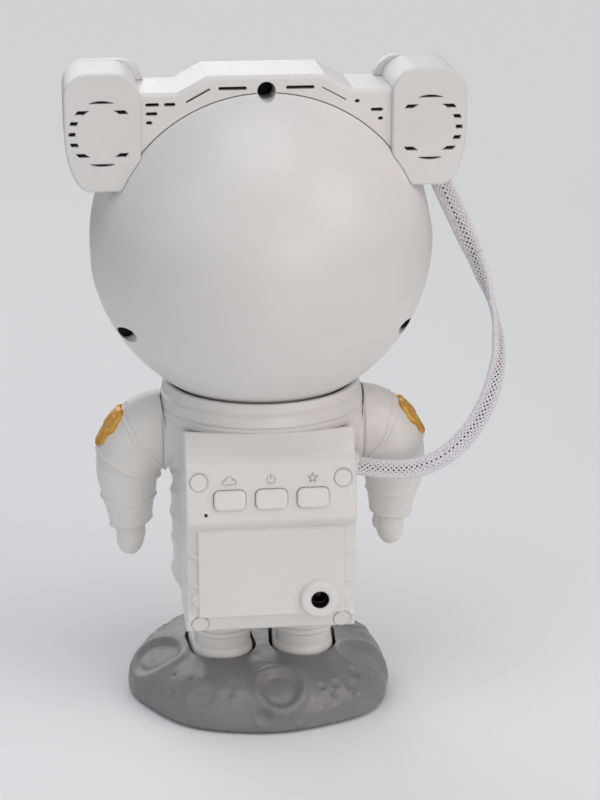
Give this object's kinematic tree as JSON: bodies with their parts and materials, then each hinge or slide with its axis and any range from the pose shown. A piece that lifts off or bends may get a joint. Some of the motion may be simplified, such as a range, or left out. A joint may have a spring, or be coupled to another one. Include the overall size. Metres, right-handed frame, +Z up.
{
  "type": "star night light projector",
  "caption": "Space-suited figure on a moon base whose ball head projects stars and a nebula, with a button backpack and a braided hose.",
  "frame": {"origin": "on the table, under the axis that the head turns about; the base centre is 8 mm in front of it", "axes": "+Z up; the visor faces -Y and the backpack faces +Y; the figure's own right, with the hose, is -X"},
  "size_m": [0.1486, 0.1162, 0.2272],
  "materials": {
    "white_plastic": "satin",
    "moon_plastic": "matt, pitted",
    "black_plastic": "matt",
    "dark_liner": "felt",
    "foam_pad": "soft",
    "steel": "plain",
    "gold_patch": "metallic",
    "visor_plastic": "gloss",
    "lens_plastic": "clear",
    "nebula_film": "rippled",
    "aluminium_part": "machined",
    "brass_part": "turned",
    "circuit_board": "lacquer",
    "hose_braid": "braided mesh"
  },
  "bodies": {
    "base": {"moon_base": "moon_plastic", "base_cover": "black_plastic", "base_weight": "steel", "base_screws": "steel", "base_pad": "foam_pad"},
    "figure": {"left_leg": "white_plastic", "right_leg": "white_plastic", "torso_front": "white_plastic", "torso_rear": "white_plastic", "neck_collar": "white_plastic", "neck_magnet": "steel", "left_arm": "white_plastic", "right_arm": "white_plastic", "left_shoulder_patch": "gold_patch", "right_shoulder_patch": "gold_patch", "chest_pack": "white_plastic", "backpack_shell": "white_plastic", "screw_caps": "white_plastic", "backpack_screws": "steel", "tact_switches": "black_plastic", "control_board": "circuit_board", "microphone": "black_plastic", "dc_jack": "black_plastic", "hose_gland_lower": "black_plastic", "hose_lower": "hose_braid"},
    "nebula_button": {"nebula_button": "white_plastic"},
    "power_button": {"power_button": "white_plastic"},
    "star_button": {"star_button": "white_plastic"},
    "neck_ring": {"neck_pad": "black_plastic"},
    "head": {"helmet_front": "white_plastic", "helmet_rear": "white_plastic", "helmet_screws": "steel", "visor_bezel": "white_plastic", "visor": "visor_plastic", "laser_window": "lens_plastic", "head_steel_plate": "steel", "headband": "white_plastic", "band_liner": "dark_liner", "left_ear_box": "white_plastic", "right_ear_box": "white_plastic", "left_ear_cap": "white_plastic", "right_ear_cap": "white_plastic", "ear_liners": "dark_liner", "optics_frame": "black_plastic", "optics_screws": "steel", "led_board": "circuit_board", "heat_sink": "aluminium_part", "condenser_lens": "lens_plastic", "gear_motor": "steel", "lens_bridge": "black_plastic", "projection_lens": "lens_plastic", "laser_module": "brass_part", "star_grating": "lens_plastic", "head_board": "circuit_board", "hose_gland_upper": "black_plastic", "hose_upper": "hose_braid"},
    "wheel": {"nebula_wheel": "nebula_film", "motor_shaft": "steel"}
  },
  "joints": [
    {"name": "figure_lift", "type": "slide", "parent": "base", "child": "figure", "axis": [0, 0, 1], "range_m": [0, 0.03]},
    {"name": "nebula_button_press", "type": "slide", "parent": "figure", "child": "nebula_button", "axis": [0, -0.9889, -0.1483], "range_m": [0, 0.0006], "stiffness_N_per_m": 400, "springref_m": -0.0003},
    {"name": "power_button_press", "type": "slide", "parent": "figure", "child": "power_button", "axis": [0, -0.9889, -0.1483], "range_m": [0, 0.0006], "stiffness_N_per_m": 400, "springref_m": -0.0003},
    {"name": "star_button_press", "type": "slide", "parent": "figure", "child": "star_button", "axis": [0, -0.9889, -0.1483], "range_m": [0, 0.0006], "stiffness_N_per_m": 400, "springref_m": -0.0003},
    {"name": "head_turn", "type": "hinge", "parent": "figure", "child": "neck_ring", "pos_m": [0, 0, 0.167], "axis": [0, 0, 1], "range_deg": [-45, 45], "deforming": ["hose_lower", "hose_upper"]},
    {"name": "head_nod", "type": "hinge", "parent": "neck_ring", "child": "head", "pos_m": [0, 0, 0.167], "axis": [-1, 0, 0], "range_deg": [-14, 40], "deforming": ["hose_lower", "hose_upper"]},
    {"name": "wheel_spin", "type": "hinge", "parent": "head", "child": "wheel", "pos_m": [0, 0, 0.1555], "axis": [0, 1, 0], "continuous": true}
  ]
}
